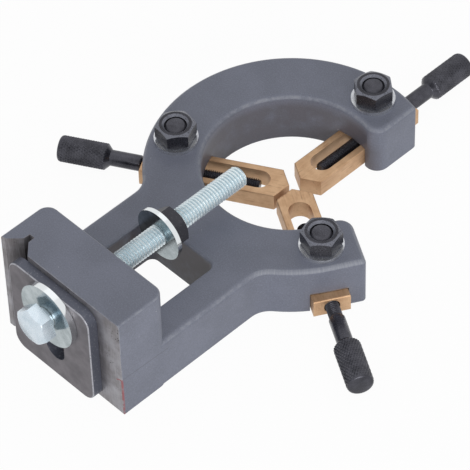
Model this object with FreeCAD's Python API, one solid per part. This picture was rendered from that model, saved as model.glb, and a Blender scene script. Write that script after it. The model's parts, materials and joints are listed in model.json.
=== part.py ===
import FreeCAD, Part
import math
import os
from collections import namedtuple

# Steady rest for a bench lathe: a cast C-shaped frame that stands on the bed ways, sliding bronze
# fingers that bear on a turning workpiece, and a bolt and slotted plate that clamp it to the bed.
#
# Millimetres. The rest lies on its flat back face: Z = 0 is that face and +Z is up out of it. The
# Z axis is the workpiece axis, through the middle of the ring. -Y points at the bed, +Y at the top
# finger, and +X towards the mouth of the ring.

Station = namedtuple("Station", "name angle tip_radius shoulder_gap nut_corner_angle")

# Casting
CENTRE_HEIGHT = 108.4
RING_BORE_RADIUS = 31.5
RING_WALL = 20.8
PLATE_THICKNESS = 21.2
BODY_WIDTH = 58.0
BASE_LENGTH = 21.5
BASE_HEIGHT = 45.5
ARM_HALF_WIDTH = 13.3
WINDOW_WIDTH = 32.4
WINDOW_LENGTH = 34.2
WINDOW_CORNER = 3.0
NECK_FILLET = 9.0
MOUTH_INNER_CORNER = 5.0
MOUTH_OUTER_CORNER = 1.5
BASE_CORNER = 4.5
FRONT_ROUND = 2.0
BACK_ROUND = 0.8
WINDOW_ROUND = 0.8
BASE_ROUND = 1.2

# Vee groove in the bed face, with a relief slot at its root
VEE_OFFSET = 21.2
VEE_WIDTH = 11.4
VEE_RELIEF_WIDTH = 2.4
VEE_RELIEF_DEPTH = 7.2

# Bronze fingers; each slides in an open channel in the back face
FINGER_LENGTH = 54.0
FINGER_WIDTH = 13.4
FINGER_HEIGHT = 7.4
FINGER_TIP_ANGLE = 120.0
FINGER_TIP_WALL = 7.0
FINGER_END_WALL = 7.0
FINGER_EDGE_ROUND = 0.5
FINGER_SIDE_GAP = 0.2
FINGER_ROOF_GAP = 0.2
STATIONS = (
    Station("top", 90.0, 4.7, 0.3, 21.0),
    Station("left", 210.0, 0.5, 0.8, 52.5),
    Station("right", 330.0, 1.7, 5.7, 43.0),
)

# Lock studs, M8, flanged under the finger and cross-threaded for the adjusting screw
STUD_DIAMETER = 8.0
STUD_FLANGE_DIAMETER = 12.4
STUD_FLANGE_THICKNESS = 1.0
STUD_BACK_GAP = 0.2
STUD_FLANGE_GAP = 0.2
STUD_SLOT_GAP = 0.15
STUD_END_CHAMFER = 0.8
STUD_RECESS = 0.5

# Adjusting screws, M5 with a plain stem and a knurled knob, turned from one bar
SCREW_DIAMETER = 5.0
SCREW_THREAD_LENGTH = 44.0
SCREW_END_CHAMFER = 0.6
STEM_DIAMETER = 5.9
STEM_LENGTH = 11.5
STEM_CHAMFER = 0.6
KNOB_DIAMETER = 9.8
KNOB_LENGTH = 19.5
KNOB_SHOULDER = 1.9
KNOB_END_ROUND = 1.3
SCREW_FIT = 0.05
SCREW_HOLE_GAP = 0.4

# Clamp bolt, M8, which passes in front of the neck and out through the base
BOLT_HEIGHT = 32.6
BOLT_DIAMETER = 8.0
BOLT_LENGTH = 92.9
BOLT_END_PLAY = 2.2
BOLT_HOLE_GAP = 0.5
BOLT_END_CHAMFER = 0.8
HEAD_HEIGHT = 5.3
HEAD_TURN = 15.5

# Slotted clamp plate
CLAMP_PLATE_WIDTH = 39.5
CLAMP_PLATE_HEIGHT = 43.0
CLAMP_PLATE_THICKNESS = 4.0
CLAMP_PLATE_CORNER = 5.0
CLAMP_PLATE_EDGE_ROUND = 0.5
CLAMP_PLATE_SIDE_SHIFT = -1.4
CLAMP_SLOT_TRAVEL = 18.9
CLAMP_SLOT_TOP_WALL = 6.1

# Nuts and washers
HEX_ACROSS_FLATS = 13.0
HEX_CHAMFER_ANGLE = 30.0
HEX_FACE_SHARE = 0.9
NUT_HEIGHT = 6.5
NUT_FIT = 0.05
LOCK_WASHER_DIAMETER = 16.0
LOCK_WASHER_THICKNESS = 1.6
WASHER_HOLE_GAP = 0.2
BOLT_WASHER_DIAMETER = 25.0
BOLT_WASHER_THICKNESS = 2.4
NUT_WASHER_DIAMETER = 20.0
NUT_WASHER_THICKNESS = 1.8
NUT_WASHER_TRAVEL = 23.4
CLAMP_NUT_TURN = 45.0
SEAT_GAP = 0.1

# Cutters run this far past the solids they cut; two points nearer than NEAR are one
OVERRUN = 5.0
NEAR = 0.01

# Derived places
RING_OUTER_RADIUS = RING_BORE_RADIUS + RING_WALL
STUD_RADIUS = RING_BORE_RADIUS + RING_WALL / 2
BASE_INNER_Y = -CENTRE_HEIGHT + BASE_LENGTH
FINGER_BOTTOM = STUD_BACK_GAP + STUD_FLANGE_THICKNESS + STUD_FLANGE_GAP
FINGER_TOP = FINGER_BOTTOM + FINGER_HEIGHT
CHANNEL_ROOF = FINGER_TOP + FINGER_ROOF_GAP
SCREW_HEIGHT = FINGER_BOTTOM + FINGER_HEIGHT / 2
FINGER_SLOT_RADIUS = STUD_DIAMETER / 2 + STUD_SLOT_GAP
LOCK_NUT_BOTTOM = PLATE_THICKNESS + LOCK_WASHER_THICKNESS + SEAT_GAP
CLAMP_PLATE_INNER_Y = -CENTRE_HEIGHT - SEAT_GAP
BOLT_WASHER_INNER_Y = CLAMP_PLATE_INNER_Y - CLAMP_PLATE_THICKNESS - SEAT_GAP
BOLT_HEAD_INNER_Y = BOLT_WASHER_INNER_Y - BOLT_WASHER_THICKNESS - BOLT_END_PLAY
NUT_WASHER_OUTER_Y = BASE_INNER_Y + NUT_WASHER_TRAVEL
CLAMP_NUT_OUTER_Y = NUT_WASHER_OUTER_Y + NUT_WASHER_THICKNESS + SEAT_GAP
UP = FreeCAD.Vector(0, 0, 1)
ORIGIN = FreeCAD.Vector(0, 0, 0)


def polar(radius, degrees):
    """Point in the XY plane at a radius and an angle from +X."""
    angle = math.radians(degrees)
    return FreeCAD.Vector(radius * math.cos(angle), radius * math.sin(angle), 0)


def block(x_span, y_span, z_span):
    """Box between two limits on each axis."""
    sizes = [high - low for low, high in (x_span, y_span, z_span)]
    return Part.makeBox(*sizes, FreeCAD.Vector(x_span[0], y_span[0], z_span[0]))


def prism(points, z_span):
    """Closed polygon of XY points, raised over a Z span."""
    low, high = z_span
    corners = [FreeCAD.Vector(point.x, point.y, low) for point in points]
    face = Part.Face(Part.makePolygon(corners + corners[:1]))
    return face.extrude(UP * (high - low))


def rod(radius, z_span, centre=ORIGIN):
    """Upright cylinder over a Z span."""
    low, high = z_span
    return Part.makeCylinder(radius, high - low, centre + UP * low, UP)


def turned(profile):
    """Solid of revolution about Z, from (height, radius) points that start and end on the axis."""
    points = [FreeCAD.Vector(radius, 0, height) for height, radius in profile]
    return Part.Face(Part.makePolygon(points + points[:1])).revolve(ORIGIN, UP, 360)


def stadium(radius, start_x, end_x, z_span):
    """Slot cutter along X with round ends, from one extreme point to the other."""
    straight = block((start_x + radius, end_x - radius), (-radius, radius), z_span)
    ends = [rod(radius, z_span, FreeCAD.Vector(x, 0, 0)) for x in (start_x + radius, end_x - radius)]
    return straight.fuse(ends).removeSplitter()


def along_x(shape):
    """Turn a shape that was made along +Z so that it runs along +X."""
    return shape.rotate(ORIGIN, FreeCAD.Vector(0, 1, 0), 90)


def along_y(shape, start_y):
    """Turn a shape that was made along +Z onto the clamp bolt's axis, starting at the given Y."""
    shape.rotate(ORIGIN, FreeCAD.Vector(1, 0, 0), -90)
    return shape.translate(FreeCAD.Vector(0, start_y, BOLT_HEIGHT))


def at_station(shape, station):
    """Swing a shape from the +X axis round to a finger station."""
    return shape.rotate(ORIGIN, UP, station.angle)


def upright_edges(shape, spots):
    """Straight edges along Z that stand on the given XY spots."""
    found = []
    for edge in shape.Edges:
        ends = [vertex.Point for vertex in edge.Vertexes]
        upright = len(ends) == 2 and math.hypot(ends[0].x - ends[1].x, ends[0].y - ends[1].y) < NEAR
        if upright and any(math.hypot(ends[0].x - spot.x, ends[0].y - spot.y) < NEAR for spot in spots):
            found.append(edge)
    return found


def level_edges(shape, height, y_above):
    """Edges that lie wholly at one height and beyond a Y limit at some point."""
    found = []
    for edge in shape.Edges:
        box = edge.BoundBox
        level = abs(box.ZMin - height) < NEAR and abs(box.ZMax - height) < NEAR
        if level and box.YMax > y_above + NEAR:
            found.append(edge)
    return found


def mouth_spots(top_radius, right_reach):
    """Corners at the mouth: of the top arm on a circle, and of the right arm at a reach along it."""
    top_reach = math.sqrt(top_radius**2 - ARM_HALF_WIDTH**2)
    top = FreeCAD.Vector(ARM_HALF_WIDTH, top_reach, 0)
    right = FreeCAD.Vector(right_reach, ARM_HALF_WIDTH, 0)
    return [top, FreeCAD.Rotation(UP, STATIONS[2].angle).multVec(right)]


def mouth_cutter(z_span):
    """Wedge that opens the ring between the top arm and the right arm."""
    top, _, right = STATIONS
    half_angle = (top.angle - right.angle) % 360 / 2
    bisector = top.angle - half_angle
    apex = polar(ARM_HALF_WIDTH / math.sin(math.radians(half_angle)), bisector)
    reach = 2 * RING_OUTER_RADIUS
    rays = ((reach, top.angle), (2 * reach, bisector), (reach, right.angle))
    return prism([apex] + [apex + polar(*ray) for ray in rays], z_span)


def ring_and_neck():
    """C-shaped ring, its two arms and the neck down to the bed face, with rounded edges and the window."""
    span = (0, PLATE_THICKNESS)
    past = (-OVERRUN, PLATE_THICKNESS + OVERRUN)
    half_body = BODY_WIDTH / 2
    neck_reach = math.sqrt(RING_OUTER_RADIUS**2 - half_body**2)

    neck = block((-half_body, half_body), (-CENTRE_HEIGHT, -neck_reach + RING_WALL / 4), span)
    right_arm = block((STUD_RADIUS, RING_OUTER_RADIUS), (0, ARM_HALF_WIDTH + OVERRUN), span)
    at_station(right_arm, STATIONS[2])
    plate = rod(RING_OUTER_RADIUS, span).fuse([neck, right_arm])
    plate = plate.cut([rod(RING_BORE_RADIUS, past), mouth_cutter(past)]).removeSplitter()

    neck_spots = [FreeCAD.Vector(side * half_body, -neck_reach, 0) for side in (-1, 1)]
    inner_reach = math.sqrt(RING_BORE_RADIUS**2 - ARM_HALF_WIDTH**2)
    inner_spots = mouth_spots(RING_BORE_RADIUS, inner_reach)
    outer_spots = mouth_spots(RING_OUTER_RADIUS, RING_OUTER_RADIUS)
    plate = plate.makeFillet(NECK_FILLET, upright_edges(plate, neck_spots))
    plate = plate.makeFillet(MOUTH_INNER_CORNER, upright_edges(plate, inner_spots))
    plate = plate.makeFillet(MOUTH_OUTER_CORNER, upright_edges(plate, outer_spots))
    plate = plate.makeFillet(FRONT_ROUND, level_edges(plate, PLATE_THICKNESS, -CENTRE_HEIGHT))
    plate = plate.makeFillet(BACK_ROUND, level_edges(plate, 0, -CENTRE_HEIGHT))
    return cut_window(plate, past)


def cut_window(plate, past):
    """Cut the rounded window next to the base wall and round its front rim."""
    x_span = (-WINDOW_WIDTH / 2, WINDOW_WIDTH / 2)
    y_span = (BASE_INNER_Y, BASE_INNER_Y + WINDOW_LENGTH)
    window = block(x_span, y_span, past)
    corners = [FreeCAD.Vector(x, y, 0) for x in x_span for y in y_span]
    window = window.makeFillet(WINDOW_CORNER, upright_edges(window, corners))
    plate = plate.cut(window)
    rim = [
        edge
        for edge in level_edges(plate, PLATE_THICKNESS, y_span[0])
        if edge.BoundBox.XMin > x_span[0] - NEAR
        and edge.BoundBox.XMax < x_span[1] + NEAR
        and edge.BoundBox.YMax < y_span[1] + NEAR
    ]
    return plate.makeFillet(WINDOW_ROUND, rim)


def base_block():
    """Tall block behind the bed face, with rounded back corners and cast edges."""
    half_body = BODY_WIDTH / 2
    base = block((-half_body, half_body), (-CENTRE_HEIGHT, BASE_INNER_Y), (0, BASE_HEIGHT))
    back_corners = [FreeCAD.Vector(side * half_body, BASE_INNER_Y, 0) for side in (-1, 1)]
    base = base.makeFillet(BASE_CORNER, upright_edges(base, back_corners))
    return base.makeFillet(BASE_ROUND, level_edges(base, BASE_HEIGHT, -CENTRE_HEIGHT))


def vee_cutter():
    """Vee groove with square flanks at 45 degrees and a relief slot, along the whole bed face."""
    half, relief = VEE_WIDTH / 2, VEE_RELIEF_WIDTH / 2
    profile = [
        (-half, -OVERRUN),
        (half, -OVERRUN),
        (half, 0),
        (relief, half - relief),
        (relief, VEE_RELIEF_DEPTH),
        (-relief, VEE_RELIEF_DEPTH),
        (-relief, half - relief),
        (-half, 0),
    ]
    points = [FreeCAD.Vector(x - VEE_OFFSET, y - CENTRE_HEIGHT, 0) for x, y in profile]
    return prism(points, (-OVERRUN, BASE_HEIGHT + OVERRUN))


def station_cutters(station):
    """Finger channel in the back face and the stud hole through its roof."""
    half_channel = FINGER_WIDTH / 2 + FINGER_SIDE_GAP
    reach = (RING_BORE_RADIUS / 2, RING_OUTER_RADIUS + OVERRUN)
    channel = block(reach, (-half_channel, half_channel), (-OVERRUN, CHANNEL_ROOF))
    hole_radius = STUD_DIAMETER / 2 + WASHER_HOLE_GAP
    hole = rod(hole_radius, (0, PLATE_THICKNESS + OVERRUN), polar(STUD_RADIUS, 0))
    return [at_station(cutter, station) for cutter in (channel, hole)]


def frame_casting():
    """Whole casting: ring, neck and base, with its groove, bolt hole, channels and stud holes."""
    casting = ring_and_neck().fuse(base_block()).removeSplitter()
    bolt_hole = rod(BOLT_DIAMETER / 2 + BOLT_HOLE_GAP, (-OVERRUN, BASE_LENGTH + OVERRUN))
    cutters = [vee_cutter(), along_y(bolt_hole, -CENTRE_HEIGHT)]
    for station in STATIONS:
        cutters += station_cutters(station)
    return casting.cut(cutters)


def finger(station):
    """Bronze finger with a V tip, a slot for the stud and a hole for the screw in its outer wall."""
    half = FINGER_WIDTH / 2
    nose = half / math.tan(math.radians(FINGER_TIP_ANGLE / 2))
    outline = [(0, 0), (nose, -half), (FINGER_LENGTH, -half), (FINGER_LENGTH, half), (nose, half)]
    span = (FINGER_BOTTOM, FINGER_TOP)
    bar = prism([FreeCAD.Vector(x, y, 0) for x, y in outline], span)
    rims = [edge for height in span for edge in level_edges(bar, height, -half - 1)]
    bar = bar.makeFillet(FINGER_EDGE_ROUND, rims)
    slot = stadium(
        FINGER_SLOT_RADIUS, FINGER_TIP_WALL, FINGER_LENGTH - FINGER_END_WALL, (0, FINGER_TOP + OVERRUN)
    )
    hole_span = (FINGER_LENGTH - FINGER_END_WALL - FINGER_SLOT_RADIUS, FINGER_LENGTH + OVERRUN)
    hole = along_x(rod(SCREW_DIAMETER / 2 + SCREW_HOLE_GAP, hole_span))
    hole.translate(UP * SCREW_HEIGHT)
    bar = bar.cut([slot, hole])
    bar.translate(FreeCAD.Vector(station.tip_radius, 0, 0))
    return at_station(bar, station)


def lock_stud(station):
    """M8 stud: thin flange under the finger, cross hole for the adjusting screw, end just inside its nut."""
    flange_top = STUD_BACK_GAP + STUD_FLANGE_THICKNESS
    top = LOCK_NUT_BOTTOM + NUT_HEIGHT - STUD_RECESS
    radius = STUD_DIAMETER / 2
    stud = turned([
        (STUD_BACK_GAP, 0),
        (STUD_BACK_GAP, STUD_FLANGE_DIAMETER / 2),
        (flange_top, STUD_FLANGE_DIAMETER / 2),
        (flange_top, radius),
        (top - STUD_END_CHAMFER, radius),
        (top, radius - STUD_END_CHAMFER),
        (top, 0),
    ])
    cross_hole = along_x(rod(SCREW_DIAMETER / 2 + SCREW_FIT, (-STUD_DIAMETER, STUD_DIAMETER)))
    cross_hole.translate(UP * SCREW_HEIGHT)
    stud = stud.cut(cross_hole)
    stud.translate(polar(STUD_RADIUS, 0))
    return at_station(stud, station)


def adjusting_screw(station):
    """M5 screw, stem and knob on one axis, from the tip inside the ring out to the rounded knob end."""
    thread, stem, knob = SCREW_DIAMETER / 2, STEM_DIAMETER / 2, KNOB_DIAMETER / 2
    stem_end = SCREW_THREAD_LENGTH + STEM_LENGTH
    knob_end = stem_end + KNOB_LENGTH
    screw = turned([
        (0, 0),
        (0, thread - SCREW_END_CHAMFER),
        (SCREW_END_CHAMFER, thread),
        (SCREW_THREAD_LENGTH, thread),
        (SCREW_THREAD_LENGTH, stem - STEM_CHAMFER / 2),
        (SCREW_THREAD_LENGTH + STEM_CHAMFER, stem),
        (stem_end, stem),
        (stem_end + KNOB_SHOULDER, knob),
        (knob_end, knob),
        (knob_end, 0),
    ])
    end_rim = level_edges(screw, knob_end, -knob)
    screw = along_x(screw.makeFillet(KNOB_END_ROUND, end_rim))
    shoulder = station.tip_radius + FINGER_LENGTH + station.shoulder_gap
    screw.translate(FreeCAD.Vector(shoulder - SCREW_THREAD_LENGTH, 0, SCREW_HEIGHT))
    return at_station(screw, station)


def washer(diameter, thickness, bolt_diameter):
    """Flat washer from Z = 0 up."""
    hole = rod(bolt_diameter / 2 + WASHER_HOLE_GAP, (-OVERRUN, thickness + OVERRUN))
    return rod(diameter / 2, (0, thickness)).cut(hole)


def hexagon(height, turn, top_chamfered):
    """Hexagonal prism from Z = 0 up, its corners chamfered at the bottom and, if asked, at the top."""
    corner_radius = HEX_ACROSS_FLATS / math.sqrt(3)
    face_radius = HEX_FACE_SHARE * HEX_ACROSS_FLATS / 2
    lead = (corner_radius - face_radius) * math.tan(math.radians(HEX_CHAMFER_ANGLE))
    body = prism([polar(corner_radius, 60 * side + turn) for side in range(6)], (0, height))
    profile = [(0, 0), (0, face_radius), (lead, corner_radius)]
    if top_chamfered:
        profile += [(height - lead, corner_radius), (height, face_radius), (height, 0)]
    else:
        profile += [(height, corner_radius), (height, 0)]
    return body.common(turned(profile))


def hex_nut(turn, bolt_diameter):
    """Hexagon nut from Z = 0 up, countersunk at both ends of its bore."""
    bore = bolt_diameter / 2 + NUT_FIT
    sink = bore + STUD_END_CHAMFER
    cutter = turned([
        (-OVERRUN, 0),
        (-OVERRUN, sink),
        (0, sink),
        (sink - bore, bore),
        (NUT_HEIGHT - sink + bore, bore),
        (NUT_HEIGHT, sink),
        (NUT_HEIGHT + OVERRUN, sink),
        (NUT_HEIGHT + OVERRUN, 0),
    ])
    return hexagon(NUT_HEIGHT, turn, True).cut(cutter)


def lock_washer(station):
    """Washer between the casting and a lock nut."""
    ring = washer(LOCK_WASHER_DIAMETER, LOCK_WASHER_THICKNESS, STUD_DIAMETER)
    ring.translate(polar(STUD_RADIUS, 0) + UP * PLATE_THICKNESS)
    return at_station(ring, station)


def lock_nut(station):
    """Nut that draws the stud's flange up and locks the finger."""
    nut = hex_nut(station.nut_corner_angle - station.angle, STUD_DIAMETER)
    nut.translate(polar(STUD_RADIUS, 0) + UP * LOCK_NUT_BOTTOM)
    return at_station(nut, station)


def clamp_bolt():
    """Hexagon-head bolt, head outside the bed face and threaded end over the ring."""
    radius = BOLT_DIAMETER / 2
    shank = turned([
        (0, 0),
        (0, radius),
        (BOLT_LENGTH - BOLT_END_CHAMFER, radius),
        (BOLT_LENGTH, radius - BOLT_END_CHAMFER),
        (BOLT_LENGTH, 0),
    ])
    head = hexagon(HEAD_HEIGHT, -HEAD_TURN, False)
    head.translate(UP * -HEAD_HEIGHT)
    return along_y(shank.fuse(head), BOLT_HEAD_INNER_Y)


def clamp_plate():
    """Flat plate that pulls up under the bed, slotted from the bolt down."""
    top = BOLT_HEIGHT + BOLT_DIAMETER / 2 + BOLT_HOLE_GAP + CLAMP_SLOT_TOP_WALL
    x_middle, half_width = CLAMP_PLATE_SIDE_SHIFT, CLAMP_PLATE_WIDTH / 2
    outer_y = CLAMP_PLATE_INNER_Y - CLAMP_PLATE_THICKNESS
    plate = block(
        (x_middle - half_width, x_middle + half_width),
        (outer_y, CLAMP_PLATE_INNER_Y),
        (top - CLAMP_PLATE_HEIGHT, top),
    )
    corners = [edge for edge in plate.Edges if abs(edge.BoundBox.YLength - CLAMP_PLATE_THICKNESS) < NEAR]
    plate = plate.makeFillet(CLAMP_PLATE_CORNER, corners)
    outer_rim = [edge for edge in plate.Edges if abs(edge.BoundBox.YMax - outer_y) < NEAR]
    plate = plate.makeFillet(CLAMP_PLATE_EDGE_ROUND, outer_rim)
    radius = BOLT_DIAMETER / 2 + BOLT_HOLE_GAP
    slot = stadium(radius, -radius, CLAMP_SLOT_TRAVEL + radius, (-OVERRUN, CLAMP_PLATE_THICKNESS + OVERRUN))
    slot.rotate(ORIGIN, UP, 90)
    return plate.cut(along_y(slot, outer_y))


def clamp_bolt_washer():
    """Large washer under the bolt head."""
    ring = washer(BOLT_WASHER_DIAMETER, BOLT_WASHER_THICKNESS, BOLT_DIAMETER)
    return along_y(ring, BOLT_WASHER_INNER_Y - BOLT_WASHER_THICKNESS)


def clamp_nut_washer():
    """Washer that the clamp nut presses on the base wall."""
    return along_y(washer(NUT_WASHER_DIAMETER, NUT_WASHER_THICKNESS, BOLT_DIAMETER), NUT_WASHER_OUTER_Y)


def clamp_nut():
    """Nut over the window, where a spanner reaches it."""
    return along_y(hex_nut(-CLAMP_NUT_TURN, BOLT_DIAMETER), CLAMP_NUT_OUTER_Y)


def all_parts():
    """Every node's name and shape."""
    parts = {
        "frame_casting": frame_casting(),
        "clamp_bolt": clamp_bolt(),
        "clamp_bolt_washer": clamp_bolt_washer(),
        "clamp_plate": clamp_plate(),
        "clamp_nut_washer": clamp_nut_washer(),
        "clamp_nut": clamp_nut(),
    }
    for make in (finger, lock_stud, adjusting_screw, lock_washer, lock_nut):
        for station in STATIONS:
            parts[f"{make.__name__}_{station.name}"] = make(station)
    return parts


def main():
    """Write one STEP file for each node."""
    os.makedirs("parts", exist_ok=True)
    for name, shape in all_parts().items():
        assert shape.isValid() and len(shape.Solids) == 1, name
        shape.exportStep(f"parts/{name}.step")
        print(f"{name}: {shape.Volume / 1000:.2f} cm3")


main()
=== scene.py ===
import json
import logging
import math
from dataclasses import dataclass
from enum import Enum

import bpy
import numpy as np
from mathutils import Matrix, Vector


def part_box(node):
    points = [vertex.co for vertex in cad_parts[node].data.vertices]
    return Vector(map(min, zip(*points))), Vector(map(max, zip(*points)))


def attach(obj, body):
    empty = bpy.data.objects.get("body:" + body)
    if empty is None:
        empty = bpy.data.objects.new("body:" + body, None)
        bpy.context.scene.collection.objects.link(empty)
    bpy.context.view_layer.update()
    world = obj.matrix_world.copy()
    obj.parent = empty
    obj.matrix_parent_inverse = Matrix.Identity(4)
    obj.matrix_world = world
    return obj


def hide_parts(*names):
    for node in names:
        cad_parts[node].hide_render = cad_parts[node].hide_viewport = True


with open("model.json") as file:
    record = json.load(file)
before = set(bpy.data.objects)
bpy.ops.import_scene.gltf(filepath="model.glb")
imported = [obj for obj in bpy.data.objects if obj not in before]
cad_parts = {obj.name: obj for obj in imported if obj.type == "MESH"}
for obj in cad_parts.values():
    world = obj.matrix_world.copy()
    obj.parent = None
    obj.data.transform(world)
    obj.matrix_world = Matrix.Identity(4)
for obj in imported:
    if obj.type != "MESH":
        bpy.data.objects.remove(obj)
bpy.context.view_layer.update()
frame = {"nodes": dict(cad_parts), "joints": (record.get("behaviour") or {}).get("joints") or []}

LOG = logging.getLogger("steady_rest")
MM = 0.001
TURN = 2 * math.pi

Colour = tuple[float, float, float, float]


def tint(red: float, green: float, blue: float) -> Colour:
    """Turn a display colour of 0 to 255 a channel into the linear colour that a shader takes.

    Args:
        red: Red level, 0 to 255.
        green: Green level, 0 to 255.
        blue: Blue level, 0 to 255.

    Returns:
        Linear red, green and blue, and an alpha of 1.
    """
    level = np.array([red, green, blue]) / 255
    linear = np.where(level <= 0.04045, level / 12.92, ((level + 0.055) / 1.055) ** 2.4)
    return (*map(float, linear), 1.0)


# Shader maths


class Signal:
    """A shader socket that takes part in Python arithmetic; each operation adds its own node."""

    def __init__(self, graph: "Graph", socket: bpy.types.NodeSocket) -> None:
        """Wrap a socket.

        Args:
            graph: The graph that holds the socket.
            socket: The output socket.
        """
        self.graph = graph
        self.socket = socket

    def combine(self, operation: str, other: "Signal | float", reflected: bool = False) -> "Signal":
        """Add a Math node, or a Vector Math node where this socket carries a vector or colour.

        Args:
            operation: The node's operation.
            other: The second operand.
            reflected: Whether the other operand comes first.

        Returns:
            The result.
        """
        vector = self.socket.type in {"VECTOR", "RGBA"}
        kind = "ShaderNodeVectorMath" if vector else "ShaderNodeMath"
        if vector and not isinstance(other, Signal):
            other = (other, other, other)
        first, second = (other, self) if reflected else (self, other)
        node = self.graph.node(kind, {"operation": operation}, {0: first, 1: second})
        return Signal(self.graph, node.outputs[0])

    def __add__(self, other: "Signal | float") -> "Signal":
        """Sum."""
        return self.combine("ADD", other)

    __radd__ = __add__

    def __sub__(self, other: "Signal | float") -> "Signal":
        """Difference."""
        return self.combine("SUBTRACT", other)

    def __rsub__(self, other: "Signal | float") -> "Signal":
        """Difference, this socket taken away."""
        return self.combine("SUBTRACT", other, True)

    def __mul__(self, other: "Signal | float") -> "Signal":
        """Product."""
        return self.combine("MULTIPLY", other)

    __rmul__ = __mul__

    def __gt__(self, other: "Signal | float") -> "Signal":
        """1 where this socket is greater, else 0."""
        return self.combine("GREATER_THAN", other)

    def __lt__(self, other: "Signal | float") -> "Signal":
        """1 where this socket is less, else 0."""
        return self.combine("LESS_THAN", other)

    def __or__(self, other: "Signal") -> "Signal":
        """Union of two masks: the greater."""
        return self.combine("MAXIMUM", other)

    def __abs__(self) -> "Signal":
        """Magnitude."""
        return self.combine("ABSOLUTE", 0.0)

    def ramp(self, low: float, high: float) -> "Signal":
        """Smooth step from 0 at low to 1 at high, or the other way down where low is above high.

        Args:
            low: Where the step starts.
            high: Where the step ends.

        Returns:
            A mask of 0 to 1.
        """
        down = low > high
        ends = {"From Min": min(low, high), "From Max": max(low, high)}
        node = self.graph.node(
            "ShaderNodeMapRange", {"interpolation_type": "SMOOTHSTEP"}, {"Value": self, **ends}
        )
        mask = Signal(self.graph, node.outputs[0])
        return 1 - mask if down else mask

    def between(self, low: float, high: float, blur: float) -> "Signal":
        """Band of 1 from low to high, with soft edges that reach a blur's width outwards."""
        return self.ramp(low - blur, low) * self.ramp(high + blur, high)


Operand = Signal | float | tuple


class Graph:
    """A node tree that is written through Signals."""

    def __init__(self, tree: bpy.types.NodeTree) -> None:
        """Empty the tree.

        Args:
            tree: The material's or world's node tree.
        """
        self.tree = tree
        self.tree.nodes.clear()

    def node(
        self,
        kind: str,
        settings: dict[str, object] | None = None,
        sockets: dict[str | int, Operand] | None = None,
    ) -> bpy.types.Node:
        """Add a node; its settings come first, because they choose which sockets it has.

        Args:
            kind: The node's type.
            settings: Properties of the node.
            sockets: Values or Signals for its inputs, by name or number.

        Returns:
            The node.
        """
        node = self.tree.nodes.new(kind)
        for name, value in (settings or {}).items():
            setattr(node, name, value)
        for key, value in (sockets or {}).items():
            if isinstance(value, Signal):
                self.tree.links.new(value.socket, node.inputs[key])
            else:
                node.inputs[key].default_value = value
        return node

    def signal(
        self,
        kind: str,
        settings: dict[str, object],
        sockets: dict[str | int, Operand],
        output: str | int,
    ) -> Signal:
        """Add a node and return one of its outputs.

        Args:
            kind: The node's type.
            settings: Its properties.
            sockets: What goes into its inputs.
            output: Which output.

        Returns:
            The output.
        """
        return Signal(self, self.node(kind, settings, sockets).outputs[output])

    def place(self) -> Signal:
        """Point on the piece at rest, in metres."""
        return self.signal("ShaderNodeTexCoord", {}, {}, "Object")

    def facing(self) -> Signal:
        """Direction that the surface faces, in the piece's own axes."""
        return self.signal("ShaderNodeTexCoord", {}, {}, "Normal")

    def axes(self, vector: Signal) -> tuple[Signal, Signal, Signal]:
        """Split a vector into x, y and z."""
        node = self.node("ShaderNodeSeparateXYZ", {}, {0: vector})
        return tuple(Signal(self, output) for output in node.outputs)

    def turned(self, vector: Signal, angle: float, stretch: tuple[float, float, float] = (1, 1, 1)) -> Signal:
        """Turn coordinates about Z so that a direction at that angle becomes +X, then stretch them.

        Args:
            vector: The coordinates.
            angle: The direction's angle from +X, in radians.
            stretch: Scale on each turned axis.

        Returns:
            The new coordinates.
        """
        turned = self.signal("ShaderNodeMapping", {}, {"Vector": vector, "Rotation": (0, 0, -angle)}, 0)
        return self.signal("ShaderNodeMapping", {}, {"Vector": turned, "Scale": stretch}, 0)

    def noise(self, vector: Signal, grain: float, detail: float = 2.0, roughness: float = 0.5) -> Signal:
        """Cloudy noise of 0 to 1.

        Args:
            vector: The coordinates.
            grain: Size of one cloud in metres.
            detail: Octaves.
            roughness: Share that each finer octave keeps.

        Returns:
            The noise.
        """
        sockets = {"Vector": vector, "Scale": 1 / grain, "Detail": detail, "Roughness": roughness}
        return self.signal("ShaderNodeTexNoise", {}, sockets, "Fac")

    def dots(self, vector: Signal, spacing: float, radius: float) -> Signal:
        """Small round spots, one in each cell.

        Args:
            vector: The coordinates.
            spacing: Size of a cell in metres.
            radius: Radius of a spot in metres.

        Returns:
            A mask of 0 to 1.
        """
        sockets: dict[str | int, Operand] = {"Vector": vector, "Scale": 1 / spacing}
        distance = self.signal("ShaderNodeTexVoronoi", {}, sockets, "Distance")
        return distance.ramp(radius / spacing, 0.6 * radius / spacing)

    def mix(self, mask: Operand, below: Operand, above: Operand) -> Signal:
        """Lay one colour over another.

        Args:
            mask: 0 keeps the lower colour and 1 shows the upper one.
            below: The lower colour.
            above: The upper colour.

        Returns:
            The mixed colour.
        """
        return self.signal("ShaderNodeMix", {"data_type": "RGBA"}, {0: mask, 6: below, 7: above}, 2)

    def bump(self, height: Signal, depth: float, strength: float = 1.0) -> Signal:
        """Normal from a height of 0 to 1.

        Args:
            height: The relief.
            depth: What a height of 1 is, in metres.
            strength: Share of the effect that shows.

        Returns:
            The normal.
        """
        sockets = {"Strength": strength, "Distance": depth, "Height": height}
        return self.signal("ShaderNodeBump", {}, sockets, "Normal")

    def surface(self, sockets: dict[str, Operand]) -> None:
        """End the graph with a Principled shader.

        Args:
            sockets: Its values and Signals by name.
        """
        shader = self.node("ShaderNodeBsdfPrincipled", {}, sockets)
        self.node("ShaderNodeOutputMaterial", {}, {"Surface": Signal(self, shader.outputs[0])})


# Finishes


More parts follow.
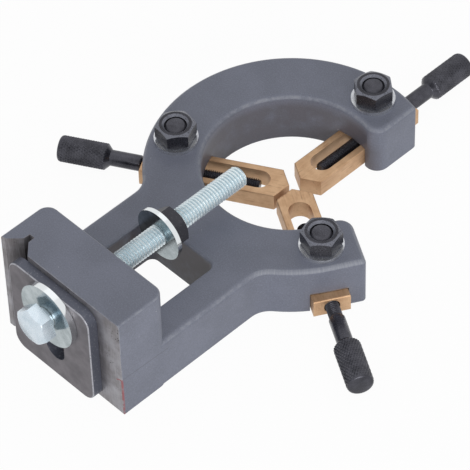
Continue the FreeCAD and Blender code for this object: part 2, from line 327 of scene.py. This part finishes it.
class Finish:
    """Base of the finishes: each writes its own nodes into a material."""

    def paint(self, graph: Graph) -> None:
        """Write the finish's nodes."""
        raise NotImplementedError

    def material(self, name: str) -> bpy.types.Material:
        """Make the material.

        Args:
            name: Its name.

        Returns:
            The material.
        """
        made = bpy.data.materials.new(name)
        made.use_nodes = True
        self.paint(Graph(made.node_tree))
        return made


@dataclass(frozen=True)
class CastFinish(Finish):
    """Satin paint over the casting, lighter on its rounded rims, with painted shade in the window and down
    the bore, and bare iron where it is machined.
    """

    paint_colour: Colour = tint(117, 121, 136)
    paint_shade: Colour = tint(109, 113, 127)
    # Lighter paint on every rounded rim, set by the surface's slope, and on the line round the bed face and
    # the ground band.
    lighter_rim: Colour = tint(150, 153, 162)
    iron: Colour = tint(158, 157, 163)
    iron_stain: Colour = tint(118, 114, 116)
    pit: Colour = tint(46, 42, 44)
    marking: Colour = tint(150, 62, 66)
    # Brown painted shade for the window's walls and the lower bore, also the colour of the marks round the
    # finger channels.
    shade_and_rub_brown: Colour = tint(74, 64, 64)
    bed_y: float = -108.4 * MM
    side_x: float = 29.0 * MM
    plate_z: float = 21.2 * MM
    bore_radius: float = 31.5 * MM
    vee_x: float = -21.2 * MM
    vee_half: float = 5.7 * MM
    relief_half: float = 1.2 * MM
    relief_depth: float = 7.2 * MM
    channel_half: float = 6.9 * MM
    window_half: float = 16.2 * MM
    window_end: float = -52.6 * MM
    channel_roof: float = 9.0 * MM
    window_length: float = 34.6 * MM
    rub_start: float = 20 * MM
    arm_from: float = -0.97
    arm_to: float = -0.25
    arm_band: float = 4 * MM

    def machined(self, graph: Graph, place: Signal) -> Signal:
        """Mask of the bed face, the vee groove with its relief slot, and the finger channels.

        Args:
            graph: The graph.
            place: The point.

        Returns:
            1 on bare iron.
        """
        skin = 0.05 * MM
        x, y, z = graph.axes(place)
        inward = y - self.bed_y
        aside = abs(x - self.vee_x)
        mask = (inward < skin) | (aside + inward < self.vee_half + skin)
        mask = mask | ((aside < self.relief_half + skin) * (inward < self.relief_depth + skin))
        for station in Station:
            reach, across, _ = graph.axes(graph.turned(place, station.angle))
            channel = (reach > self.channel_half) * (abs(across) < self.channel_half + skin)
            mask = mask | (channel * (z < self.channel_roof + 2 * skin + 0.3 * MM))
        return mask

    def lighter_rims(self, graph: Graph, place: Signal) -> Signal:
        """Mask of lighter paint on every rounded rim, set by how steeply the surface leans, of the thin line
        round the bed face, and of the ground band on one arm.

        Args:
            graph: The graph.
            place: The point.

        Returns:
            0 to 1.
        """
        x, y, z = graph.axes(place)
        _, _, up = graph.axes(graph.facing())
        slope = abs(up)
        # Lighter paint wherever the surface leans between flat and upright, which is every rounded rim.
        rim = slope.between(0.5, 0.75, 0.22)
        patchy = graph.noise(place, 2.5 * MM, 5.0, 0.7).ramp(0.4, 0.62)
        line = (y - self.bed_y).ramp(0.55 * MM, 0.1 * MM) * graph.noise(place, 3 * MM, 3.0).ramp(0.35, 0.6)
        angle = graph.signal("ShaderNodeMath", {"operation": "ARCTAN2"}, {0: y, 1: x}, 0)
        arm = angle.between(self.arm_from, self.arm_to, 0.12) * (z > self.plate_z - self.arm_band)
        strokes = graph.noise(angle * 60, 1.0, 2.0).ramp(0.35, 0.75)
        ground = arm * slope.between(0.3, 0.9, 0.08) * (0.45 + 0.55 * strokes)
        return (rim * (0.25 + 0.75 * patchy) * 0.62) | (line * 0.85) | (ground * 0.8)

    def painted_shade_and_rub_marks(self, graph: Graph, place: Signal) -> Signal:
        """Mask of painted shade on the window's walls and down the bore wall, and of the brown marks round
        the finger channels where the fingers rub the ring.

        Args:
            graph: The graph.
            place: The point.

        Returns:
            0 to 1.
        """
        x, y, z = graph.axes(place)
        # Painted shade on the window's walls.
        between = abs(x) < self.window_half + 0.2 * MM
        window = between * (y < self.window_end) * (y > self.window_end - self.window_length)
        window = window * z.ramp(self.plate_z - 0.3 * MM, self.plate_z - 1.6 * MM)
        radius = graph.signal("ShaderNodeMath", {"operation": "SQRT"}, {0: x * x + y * y}, 0)
        # Painted shade down the bore wall, darker lower down.
        bore = (radius < self.bore_radius + 0.1 * MM) * z.ramp(self.plate_z - 1 * MM, self.plate_z - 6 * MM)
        mask = window | (bore * 0.6)
        for station in Station:
            reach, across, _ = graph.axes(graph.turned(place, station.angle))
            # Brown marks on the bore wall round each finger channel.
            inside = reach.ramp(self.bore_radius + 3.8 * MM, self.bore_radius + 0.8 * MM)
            inside = inside * (reach > self.rub_start)
            beside = abs(across).ramp(16 * MM, 8 * MM) * z.ramp(16 * MM, 9 * MM)
            mask = mask | (inside * beside * 0.7)
        return mask * graph.noise(place, 7 * MM, 4.0).ramp(0.15, 0.55)

    def marks(self, graph: Graph, place: Signal) -> Signal:
        """Mask of the marking-ink stroke down the base's lower corner.

        Args:
            graph: The graph.
            place: The point.

        Returns:
            0 to 1.
        """
        x, y, z = graph.axes(place)
        wander = graph.noise(place, 4 * MM, 3.0)
        near_corner = (self.side_x - x) + (y - self.bed_y)
        down = near_corner.ramp(0.75 * MM, 0.3 * MM) * (z < 17.6 * MM) * wander.ramp(0.3, 0.45)
        level = abs(z - 17.2 * MM + (wander - 0.5) * 3 * MM)
        tick = level.ramp(0.35 * MM, 0.15 * MM) * (x > 26.2 * MM) * (y < self.bed_y + 0.5 * MM)
        return down | tick

    def paint(self, graph: Graph) -> None:
        """Write the nodes: paint with painted shade in the window and the bore, seam, lighter rims, bare iron
        with pits, and the ink.
        """
        place = graph.place()
        x, y, z = graph.axes(place)
        cloud = graph.noise(place, 14 * MM, 3.0)
        fine = graph.noise(place, 0.45 * MM, 3.0, 0.6)
        peel = graph.noise(place, 1.1 * MM, 2.0)
        bare = self.machined(graph, place)

        coat = graph.mix(cloud.ramp(0.3, 0.7), self.paint_shade, self.paint_colour)
        coat = graph.mix(fine.ramp(0.5, 0.68) * 0.4, coat, tint(138, 142, 157))
        coat = graph.mix(fine.ramp(0.48, 0.32) * 0.35, coat, tint(92, 95, 108))
        coat = graph.mix(graph.dots(place, 7 * MM, 0.17 * MM) * 0.85, coat, tint(196, 198, 202))
        # Painted shade in the window and the bore, and brown marks round the finger channels.
        coat = graph.mix(self.painted_shade_and_rub_marks(graph, place) * 0.8, coat, self.shade_and_rub_brown)
        drop = (y - self.bed_y) * 0.045
        seam = abs(z - 18.0 * MM + drop).ramp(0.35 * MM, 0.12 * MM) * (x > self.side_x - 0.2 * MM)
        seam = seam * (y < self.bed_y + 21.5 * MM) * cloud.ramp(0.25, 0.5)
        coat = graph.mix(seam * 0.45, coat, tint(80, 82, 92))
        # Lighter paint on the rounded rims.
        lighter_rim = self.lighter_rims(graph, place)
        coat = graph.mix(lighter_rim, coat, self.lighter_rim)

        stain = graph.noise(place, 11 * MM, 5.0, 0.62)
        tooling = graph.noise(graph.turned(place, 0.0, (1.0, 1.0, 0.06)), 0.35 * MM, 2.0)
        iron = graph.mix(stain.ramp(0.35, 0.7), self.iron_stain, self.iron)
        iron = graph.mix(tooling.ramp(0.4, 0.8) * 0.3, iron, tint(186, 185, 188))
        pitted = graph.noise(place, 9 * MM, 2.0).ramp(0.5, 0.68)
        pits = graph.dots(place, 1.3 * MM, 0.36 * MM) * pitted
        iron = graph.mix(pits, iron, self.pit)

        colour = graph.mix(bare, coat, iron)
        colour = graph.mix(self.marks(graph, place) * 0.8, colour, self.marking)
        relief = (1 - bare) * (peel * 0.5 + fine * 0.35) + bare * (tooling * 0.3 - pits * 0.8)
        graph.surface({
            "Base Color": colour,
            "Metallic": bare * 0.75,
            "Roughness": 0.44 + fine * 0.1 - lighter_rim * 0.06,
            "Normal": graph.bump(relief, 0.09 * MM, 0.8),
        })


@dataclass(frozen=True)
class BronzeFinish(Finish):
    """Milled bronze with a grain along the finger."""

    angle: float
    light: Colour = tint(216, 180, 143)
    dark: Colour = tint(192, 153, 117)
    stain: Colour = tint(128, 94, 70)

    def paint(self, graph: Graph) -> None:
        """Write the nodes: long grain, cloudy tarnish and a few darker patches."""
        place = graph.place()
        grain = graph.noise(graph.turned(place, self.angle, (0.09, 1.0, 1.0)), 0.5 * MM, 3.0, 0.6)
        cloud = graph.noise(place, 5 * MM, 4.0, 0.6)
        colour = graph.mix(cloud.ramp(0.3, 0.72), self.dark, self.light)
        colour = graph.mix(grain.ramp(0.4, 0.7) * 0.55, colour, self.light)
        colour = graph.mix(grain.ramp(0.42, 0.25) * 0.5, colour, self.stain)
        colour = graph.mix(graph.noise(place, 6 * MM, 5.0, 0.7).ramp(0.6, 0.8) * 0.35, colour, self.stain)
        graph.surface({
            "Base Color": colour,
            "Metallic": 0.65,
            "Roughness": 0.4 + grain * 0.16,
            "Normal": graph.bump(grain, 0.03 * MM, 0.6),
        })


@dataclass(frozen=True)
class MetalFinish(Finish):
    """Plated, blackened or bare steel: two tones in clouds, with fine scratches."""

    light: Colour
    dark: Colour
    roughness: float
    metallic: float
    cloud: float = 5 * MM
    grain: float = 0.4 * MM
    relief: float = 0.01 * MM

    def tone(self, graph: Graph, place: Signal) -> Signal:
        """Colour over the surface.

        Args:
            graph: The graph.
            place: The point.

        Returns:
            The colour.
        """
        cloud = graph.noise(place, self.cloud, 4.0, 0.6)
        return graph.mix(cloud.ramp(0.3, 0.7), self.dark, self.light)

    def paint(self, graph: Graph) -> None:
        """Write the nodes."""
        place = graph.place()
        grain = graph.noise(place, self.grain, 3.0, 0.6)
        graph.surface({
            "Base Color": self.tone(graph, place),
            "Metallic": self.metallic,
            "Roughness": self.roughness + (grain - 0.5) * 0.16,
            "Normal": graph.bump(grain, self.relief, 0.6),
        })


@dataclass(frozen=True)
class EdgeLitFinish(MetalFinish):
    """Steel with painted highlights on the chamfers or rims round its flat faces, and its upright faces in a
    tone of their own that stands for painted light on some pieces and painted shade on others.
    """

    axis: int = 2
    # Painted highlight on the chamfers and rims.
    edge_highlight: Colour = tint(112, 114, 124)
    # Tone of the upright faces, standing for painted light on the washers and painted shade on the plate.
    side_shading: Colour = tint(50, 50, 57)

    def tone(self, graph: Graph, place: Signal) -> Signal:
        """Colour by how far the surface leans from the flat faces' axis: painted highlights on the chamfers
        and rims, and the upright faces' painted tone.

        Args:
            graph: The graph.
            place: The point.

        Returns:
            The colour.
        """
        lean = abs(graph.axes(graph.facing())[self.axis])
        scratch = graph.noise(place, 0.8 * MM, 4.0, 0.7)
        # The upright faces take their painted tone.
        colour = graph.mix(lean < 0.2, super().tone(graph, place), self.side_shading)
        # Bright scratches on the upright faces, in the highlight's colour.
        colour = graph.mix(scratch.ramp(0.56, 0.7) * (lean < 0.2) * 0.5, colour, self.edge_highlight)
        # Painted highlights on the chamfers and rims, broken up by noise.
        return graph.mix(lean.between(0.25, 0.95, 0.03) * scratch.ramp(0.25, 0.5), colour, self.edge_highlight)


@dataclass(frozen=True)
class ShadedThreadFinish(MetalFinish):
    """Plated thread with painted shade at its roots and the plated tone on its crests; the thread lies along
    Y.
    """

    height: float = 32.6 * MM
    crest: float = 3.8 * MM
    root: float = 3.2 * MM
    # Painted shade at the thread's roots.
    root_shade: Colour = tint(192, 210, 218)

    def tone(self, graph: Graph, place: Signal) -> Signal:
        """Colour by the distance from the bolt's axis: the root of x squared plus z past the axis squared;
        painted shade at the roots, the plated tone at the crests.

        Args:
            graph: The graph.
            place: The point.

        Returns:
            The colour.
        """
        x, _, z = graph.axes(place)
        up = z - self.height
        radius = graph.signal("ShaderNodeMath", {"operation": "SQRT"}, {0: x * x + up * up}, 0)
        # Painted shade at the roots, fading to the plated tone at the crests.
        return graph.mix(radius.ramp(self.root, self.crest), self.root_shade, super().tone(graph, place))


class Steel(Enum):
    """The steel finishes, each a record slot and a finish."""

    BLACK = ("black_steel", MetalFinish(tint(80, 80, 88), tint(54, 54, 61), 0.26, 0.6, relief=0.02 * MM))
    # Black lock nuts with painted highlights on their chamfers.
    BLACK_NUT = ("black_steel", EdgeLitFinish(tint(58, 58, 66), tint(42, 42, 49), 0.28, 0.45))
    # Clamp nut with painted highlights on its chamfers.
    CLAMP_NUT = (
        "black_steel",
        EdgeLitFinish(tint(66, 64, 68), tint(50, 48, 52), 0.32, 0.45, axis=1, edge_highlight=tint(100, 98, 102)),
    )
    WASHER = ("washer_steel", MetalFinish(tint(214, 216, 220), tint(180, 182, 188), 0.25, 0.85))
    ZINC = ("zinc_steel", MetalFinish(tint(216, 226, 234), tint(196, 210, 220), 0.28, 0.95))
    # Zinc washers with painted highlights on their rounded rims and painted light on their round outer faces.
    ZINC_WASHER = (
        "zinc_steel",
        EdgeLitFinish(
            tint(178, 187, 190),
            tint(148, 158, 161),
            0.16,
            1.0,
            axis=1,
            edge_highlight=tint(220, 226, 230),
            side_shading=tint(224, 228, 230),
        ),
    )
    # Zinc thread painted near white, lighter than the zinc of the head, as a painted highlight, with painted
    # shade at its roots.
    ZINC_THREAD = ("zinc_steel", ShadedThreadFinish(tint(244, 252, 254), tint(224, 238, 244), 0.26, 0.5))
    # Clamp plate with painted highlights on its chamfered rims and painted shade on its narrow outer faces.
    PLATE = (
        "bare_steel",
        EdgeLitFinish(
            tint(118, 114, 119), tint(96, 93, 98), 0.52, 0.6, 7 * MM,
            axis=1, edge_highlight=tint(172, 173, 180), side_shading=tint(92, 95, 107),
        ),
    )

    @property
    def slot(self) -> str:
        """The record's material slot."""
        return self.value[0]

    @property
    def finish(self) -> MetalFinish:
        """The finish."""
        return self.value[1]


# Shapes


def revolved(
    name: str, heights: np.ndarray, radii: np.ndarray, place: Matrix, sharp: float = 35.0
) -> bpy.types.Object:
    """Make a closed solid round an axis whose radius may change with the angle too.

    The point at row i and column j stands at height i, at the angle of a whole turn times j over
    the number of columns, and at radius i, j from the axis. One point on the axis closes each end.

    Args:
        name: The piece's name.
        heights: Height of each row, in metres.
        radii: Radius at each row and column, in metres.
        place: Carries the axis from Z to where the piece is.
        sharp: Edges that turn by more than this angle in degrees stay crisp.

    Returns:
        The piece, with its place in its mesh.
    """
    rows, columns = radii.shape
    angles = column_angles(columns)
    level = np.broadcast_to(heights[:, None], radii.shape)
    shell = np.stack([radii * np.cos(angles), radii * np.sin(angles), level], axis=-1).reshape(-1, 3)
    ends = np.array([[0, 0, heights[0]], [0, 0, heights[-1]]])
    row, column = np.meshgrid(np.arange(rows - 1), np.arange(columns), indexing="ij")
    here, beside = row * columns + column, row * columns + (column + 1) % columns
    sides = np.stack([here, beside, beside + columns, here + columns], axis=-1).reshape(-1, 4)
    rim, ahead = np.arange(columns), (np.arange(columns) + 1) % columns
    last, low, high = (rows - 1) * columns, rows * columns, rows * columns + 1
    floor = np.stack([np.full(columns, low), ahead, rim], axis=-1)
    roof = np.stack([np.full(columns, high), last + rim, last + ahead], axis=-1)

    mesh = bpy.data.meshes.new(name)
    polygons = sides.tolist() + floor.tolist() + roof.tolist()
    mesh.from_pydata(np.concatenate([shell, ends]).tolist(), [], polygons)
    mesh.transform(place)
    mesh.polygons.foreach_set("use_smooth", np.ones(len(mesh.polygons), bool))
    mesh.set_sharp_from_angle(angle=math.radians(sharp))
    mesh.update()
    piece = bpy.data.objects.new(name, mesh)
    bpy.context.scene.collection.objects.link(piece)
    return piece


def column_angles(columns: int) -> np.ndarray:
    """Angle of each column of a revolved solid, in radians."""
    return TURN * np.arange(columns) / columns


def sawtooth(phase: np.ndarray) -> np.ndarray:
    """Triangle wave: 1 at each whole number and 0 midway between two."""
    return np.abs(2 * (phase % 1) - 1)


@dataclass(frozen=True)
class Thread:
    """A right-hand metric thread."""

    radius: float
    pitch: float
    samples: int = 12

    @property
    def depth(self) -> float:
        """Height of the thread: 0.6134 of its pitch."""
        return 0.6134 * self.pitch

    def heights(self, start: float, end: float) -> np.ndarray:
        """Rows from start to end, close enough to draw each turn."""
        return np.linspace(start, end, 1 + round((end - start) / self.pitch * self.samples))

    def radii(self, heights: np.ndarray, columns: int, chamfer: float) -> np.ndarray:
        """Work out the thread's surface, with a cone at each end.

        The phase is height over pitch less the share of a turn. The radius follows a triangle wave
        of the phase from root to crest, cut flat over an eighth of the pitch at the crest and the
        root, and it stays inside a cone that starts a chamfer below the crest at each end.

        Args:
            heights: Height of each row, in metres.
            columns: Number of columns.
            chamfer: How far the cone cuts in at each end, in metres.

        Returns:
            Radius at each row and column.
        """
        phase = heights[:, None] / self.pitch - column_angles(columns) / TURN
        crest = np.clip((sawtooth(phase) - 0.125) / 0.75, 0, 1)
        from_end = np.minimum(heights - heights[0], heights[-1] - heights)
        cone = self.radius - chamfer + from_end
        return np.minimum(self.radius - self.depth * (1 - crest), cone[:, None])


def frame_on_axis(point: Vector, direction: Vector, turn: float = 0.0) -> Matrix:
    """Matrix that carries +Z onto a direction through a point.

    Args:
        point: Where the origin goes.
        direction: Where +Z goes.
        turn: Turn about the axis, in radians.

    Returns:
        The matrix.
    """
    swing = Vector((0, 0, 1)).rotation_difference(direction).to_matrix().to_4x4()
    return Matrix.Translation(point) @ swing @ Matrix.Rotation(turn, 4, "Z")


def reach_along(node: str, direction: Vector) -> tuple[float, float]:
    """Where a CAD node starts and ends along a direction from the origin.

    Args:
        node: The node's name.
        direction: A unit vector.

    Returns:
        The lowest and highest distance, in metres.
    """
    mesh = frame["nodes"][node].data
    points = np.empty(len(mesh.vertices) * 3, np.float32)
    mesh.vertices.foreach_get("co", points)
    along = points.reshape(-1, 3) @ np.array(direction, np.float32)
    return float(along.min()), float(along.max())


def dress(node: str, material: bpy.types.Material) -> None:
    """Give a CAD node its material.

    Args:
        node: The node's name.
        material: The material.
    """
    piece = frame["nodes"][node]
    for slot in piece.material_slots:
        slot.material = material
    LOG.info("%s wears %s", node, material.name)


def stand_in(piece: bpy.types.Object, node: str, material: bpy.types.Material) -> None:
    """Put a new piece in a CAD node's place.

    Args:
        piece: The new piece.
        node: The node that it stands for.
        material: The material.
    """
    piece.data.materials.append(material)
    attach(piece, node)
    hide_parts(node)
    LOG.info("%s stands for %s, %d faces", piece.name, node, len(piece.data.polygons))


# Sub-assemblies


class Station(Enum):
    """The three places round the ring that hold a finger."""

    TOP = "top"
    LEFT = "left"
    RIGHT = "right"

    @property
    def outward(self) -> Vector:
        """Direction in which the finger draws back."""
        name = f"finger_{self.value}_slide"
        joint = next(joint for joint in frame["joints"] if joint["name"] == name)
        return Vector(joint["axis"]).normalized()

    @property
    def angle(self) -> float:
        """That direction's angle from +X, in radians."""
        return math.atan2(self.outward.y, self.outward.x)


@dataclass
class Casting:
    """The painted C-shaped frame."""

    finish: CastFinish = CastFinish()

    def dress(self) -> None:
        """Paint it."""
        dress("frame_casting", self.finish.material("painted_casting"))


@dataclass
class Support:
    """One finger with its lock stud, washer, nut and adjusting screw."""

    station: Station
    steels: dict[Steel, bpy.types.Material]
    thread: Thread = Thread(2.5 * MM, 0.8 * MM)
    thread_length: float = 44.0 * MM
    thread_chamfer: float = 0.6 * MM
    stem_radius: float = 2.95 * MM
    stem_length: float = 11.5 * MM
    stem_chamfer: float = 0.6 * MM
    knob_radius: float = 4.9 * MM
    knob_shoulder: float = 1.9 * MM
    knob_round: float = 1.3 * MM
    knurls: int = 28
    knurl_depth: float = 0.32 * MM
    knurl_slant: float = math.radians(30)

    def dress(self) -> None:
        """Finish the CAD nodes that stay."""
        name = self.station.value
        bronze = BronzeFinish(self.station.angle).material(f"bronze_{name}")
        dress(f"finger_{name}", bronze)
        dress(f"lock_stud_{name}", self.steels[Steel.BLACK])
        dress(f"lock_nut_{name}", self.steels[Steel.BLACK_NUT])
        dress(f"lock_washer_{name}", self.steels[Steel.WASHER])

    def knob_profile(self, heights: np.ndarray, length: float) -> np.ndarray:
        """Radius of the stem and knob without its knurls.

        Straight lines join the stem, its chamfer, the conical shoulder and the knob. At the end
        the radius follows a quarter circle: knob radius less the round, plus the root of the
        round squared less the height past the round's start squared.

        Args:
            heights: Heights from the thread's end, in metres.
            length: Height of the knob's end.

        Returns:
            Radius at each height.
        """
        knees = [0, self.stem_chamfer, self.stem_length, self.stem_length + self.knob_shoulder, length]
        half = self.stem_chamfer / 2
        stops = [
            self.stem_radius - half,
            self.stem_radius,
            self.stem_radius,
            self.knob_radius,
            self.knob_radius,
        ]
        past = np.clip(heights - (length - self.knob_round), 0, self.knob_round)
        drop = self.knob_round - np.sqrt(self.knob_round**2 - past**2)
        return np.interp(heights, knees, stops) - drop

    def knurling(self, heights: np.ndarray, columns: int, length: float) -> np.ndarray:
        """Depth that the diamond knurls cut below the knob.

        Two sets of grooves slant either way round the knob. Each set is a triangle wave of the
        share of a turn times the number of knurls, plus or minus the height's slant round the
        girth, and the deeper of the two sets cuts. The depth fades out at the shoulder and at the
        rounded end.

        Args:
            heights: Heights from the thread's end, in metres.
            columns: Number of columns.
            length: Height of the knob's end.

        Returns:
            Depth at each row and column.
        """
        girth = TURN * self.knob_radius
        drift = heights[:, None] * math.tan(self.knurl_slant) / girth
        share = column_angles(columns) / TURN
        ridge = np.minimum(sawtooth(self.knurls * (share + drift)), sawtooth(self.knurls * (share - drift)))
        start = self.stem_length + self.knob_shoulder
        fade = np.clip((heights - start + 0.5 * MM) / (0.5 * MM), 0, 1)
        fade = fade * np.clip((length - 0.4 * MM - heights) / (0.8 * MM), 0, 1)
        return self.knurl_depth * fade[:, None] * (1 - np.clip(1.25 * ridge, 0, 1))

    def build(self) -> None:
        """Make the adjusting screw's thread, and its stem and knurled knob."""
        name = f"adjusting_screw_{self.station.value}"
        outward = self.station.outward
        start, end = reach_along(name, outward)
        middle = sum(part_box(name), Vector()) / 2
        lift = Vector((0, 0, middle.z))

        heights = self.thread.heights(0.0, self.thread_length)
        radii = self.thread.radii(heights, 36, self.thread_chamfer)
        place = frame_on_axis(lift + outward * start, outward)
        threaded = revolved(f"{name}_thread", heights, radii, place)
        stand_in(threaded, name, self.steels[Steel.BLACK])

        length = end - start - self.thread_length
        step = 0.15 * MM
        knob_start = self.stem_length - step
        knees = np.array([0, self.stem_chamfer, knob_start])
        rows = np.linspace(self.stem_length, length, 1 + round((length - self.stem_length) / step))
        heights = np.concatenate([knees, rows])
        columns = 6 * self.knurls
        smooth = self.knob_profile(heights, length)[:, None]
        radii = smooth - self.knurling(heights, columns, length)
        place = frame_on_axis(lift + outward * (start + self.thread_length), outward)
        knob = revolved(f"{name}_knob", heights, radii, place, 50.0)
        stand_in(knob, name, self.steels[Steel.BLACK])


@dataclass
class BedClamp:
    """The bolt, plate, nut and washers that clamp the rest to the lathe's bed."""

    steels: dict[Steel, bpy.types.Material]
    thread: Thread = Thread(4.0 * MM, 1.25 * MM)
    head_height: float = 5.3 * MM
    head_flats: float = 13.0 * MM
    head_face_share: float = 0.9
    head_turn: float = math.radians(15.5)
    plain_length: float = 2.0 * MM
    end_chamfer: float = 0.8 * MM
    columns: int = 48

    def dress(self) -> None:
        """Finish the CAD nodes that stay."""
        dress("clamp_bolt_washer", self.steels[Steel.ZINC_WASHER])
        dress("clamp_nut_washer", self.steels[Steel.ZINC_WASHER])
        dress("clamp_plate", self.steels[Steel.PLATE])
        dress("clamp_nut", self.steels[Steel.CLAMP_NUT])

    def head_radii(self, heights: np.ndarray) -> np.ndarray:
        """Radius of the hexagon head, chamfered at its outer face.

        The hexagon's radius is half the distance across flats over the cosine of the angle from
        the nearest flat's middle, and it stays inside a cone of 30 degrees that starts from the
        round outer face.

        Args:
            heights: Heights from the outer face, in metres.

        Returns:
            Radius at each row and column.
        """
        sector = math.radians(60)
        off_middle = column_angles(self.columns) % sector - sector / 2
        hexagon = self.head_flats / 2 / np.cos(off_middle)
        cone = self.head_face_share * self.head_flats / 2 + heights / math.tan(math.radians(30))
        return np.minimum(hexagon, cone[:, None])

    def build(self) -> None:
        """Make the bolt: its head with a plain neck, and the thread."""
        name = "clamp_bolt"
        low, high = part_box(name)
        stud = sum(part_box("clamp_nut_washer"), Vector()) / 2
        axis = Vector((0, 1, 0))
        place = frame_on_axis(Vector((stud.x, low.y, stud.z)), axis, self.head_turn)

        thread_start = self.head_height + self.plain_length
        head = np.concatenate([np.linspace(0, 1.2 * MM, 13), [self.head_height]])
        neck = np.array([self.head_height, thread_start])
        radii = np.concatenate([self.head_radii(head), np.full((2, self.columns), self.thread.radius)])
        piece = revolved("clamp_bolt_head", np.concatenate([head, neck]), radii, place)
        stand_in(piece, name, self.steels[Steel.ZINC])

        shank = self.thread.heights(thread_start - self.thread.pitch, high.y - low.y)
        radii = self.thread.radii(shank, self.columns, self.end_chamfer)
        piece = revolved("clamp_bolt_thread", shank, radii, place)
        stand_in(piece, name, self.steels[Steel.ZINC_THREAD])


@dataclass
class Studio:
    """Floor, light and camera."""

    azimuth: float = math.radians(-47.162)
    elevation: float = math.radians(48.084)
    roll: float = math.radians(-1.949)
    distance: float = 1210.4 * MM
    target: Vector = Vector((-2.763 * MM, -25.178 * MM, 0))
    lens: float = 261.87
    sensor: float = 36.0
    ambient: float = 0.53
    floor_colour: Colour = (0.9, 0.9, 0.9, 1.0)
    floor_gap: float = 0.05 * MM

    def seen_directly(self, graph: Graph) -> Signal:
        """1 for camera, glossy and transmission rays, else 0."""
        path = graph.node("ShaderNodeLightPath")
        camera, glossy, passed = (
            Signal(graph, path.outputs[name])
            for name in ("Is Camera Ray", "Is Glossy Ray", "Is Transmission Ray")
        )
        return camera | glossy | passed

    def light_world(self) -> None:
        """White where it is seen, and a plain soft light where it only lights."""
        world = bpy.data.worlds.new("studio")
        world.use_nodes = True
        bpy.context.scene.world = world
        graph = Graph(world.node_tree)
        strength = self.ambient + self.seen_directly(graph) * (1 - self.ambient)
        shine = graph.node("ShaderNodeBackground", {}, {"Color": (1, 1, 1, 1), "Strength": strength})
        graph.node("ShaderNodeOutputWorld", {}, {"Surface": Signal(graph, shine.outputs[0])})

    def lay_floor(self) -> None:
        """Pale floor that keeps a faint shadow of the object."""
        half = 3.0
        corners = [(-half, -half), (half, -half), (half, half), (-half, half)]
        mesh = bpy.data.meshes.new("floor")
        mesh.from_pydata([(x, y, -self.floor_gap) for x, y in corners], [], [(0, 1, 2, 3)])
        floor = bpy.data.objects.new("floor", mesh)
        bpy.context.scene.collection.objects.link(floor)
        material = bpy.data.materials.new("pale_floor")
        material.use_nodes = True
        graph = Graph(material.node_tree)
        shade = graph.node("ShaderNodeBsdfDiffuse", {}, {"Color": self.floor_colour})
        white = graph.node("ShaderNodeEmission", {}, {"Color": (1, 1, 1, 1), "Strength": 1.0})
        share = self.seen_directly(graph) * 0.96
        both = {0: share, 1: Signal(graph, shade.outputs[0]), 2: Signal(graph, white.outputs[0])}
        mixed = graph.node("ShaderNodeMixShader", {}, both)
        graph.node("ShaderNodeOutputMaterial", {}, {"Surface": Signal(graph, mixed.outputs[0])})
        mesh.materials.append(material)

    def hang_lamp(self, name: str, place: Vector, size: float, power: float) -> None:
        """Square soft lamp that faces the object.

        Args:
            name: Its name.
            place: Where it hangs, in metres.
            size: Its side, in metres.
            power: Its power, in watts.
        """
        light = bpy.data.lights.new(name, "AREA")
        light.size = size
        light.energy = power
        lamp = bpy.data.objects.new(name, light)
        lamp.location = place
        lamp.rotation_euler = place.to_track_quat("Z", "Y").to_euler()
        bpy.context.scene.collection.objects.link(lamp)

    def set_camera(self) -> None:
        """Long lens on a sphere round the target, rolled slightly."""
        flat = math.cos(self.elevation)
        back = Vector((
            -math.sin(self.azimuth) * flat,
            -math.cos(self.azimuth) * flat,
            math.sin(self.elevation),
        ))
        aim = back.to_track_quat("Z", "Y").to_matrix().to_4x4()
        data = bpy.data.cameras.new("camera")
        data.sensor_width = self.sensor
        data.lens = self.lens
        camera = bpy.data.objects.new("camera", data)
        camera.matrix_world = (
            Matrix.Translation(self.target + back * self.distance) @ aim @ Matrix.Rotation(self.roll, 4, "Z")
        )
        bpy.context.scene.collection.objects.link(camera)
        bpy.context.scene.camera = camera

    def build(self) -> None:
        """Set everything up."""
        bpy.context.scene.view_settings.view_transform = "Standard"
        self.light_world()
        self.lay_floor()
        self.hang_lamp("side_softbox", Vector((1.3, -0.75, 0.4)), 1.1, 11.8)
        self.hang_lamp("top_softbox", Vector((-0.4, 0.5, 1.6)), 1.2, 1.0)
        self.set_camera()


def main() -> None:
    """Build and dress the steady rest, sub-assembly by sub-assembly."""
    logging.basicConfig(level=logging.INFO, format="%(name)s: %(message)s")
    steels = {steel: steel.finish.material(steel.name.lower()) for steel in Steel}
    Studio().build()
    Casting().dress()
    for station in Station:
        support = Support(station, steels)
        support.build()
        support.dress()
    clamp = BedClamp(steels)
    clamp.build()
    clamp.dress()


if __name__ == "__main__":
    main()
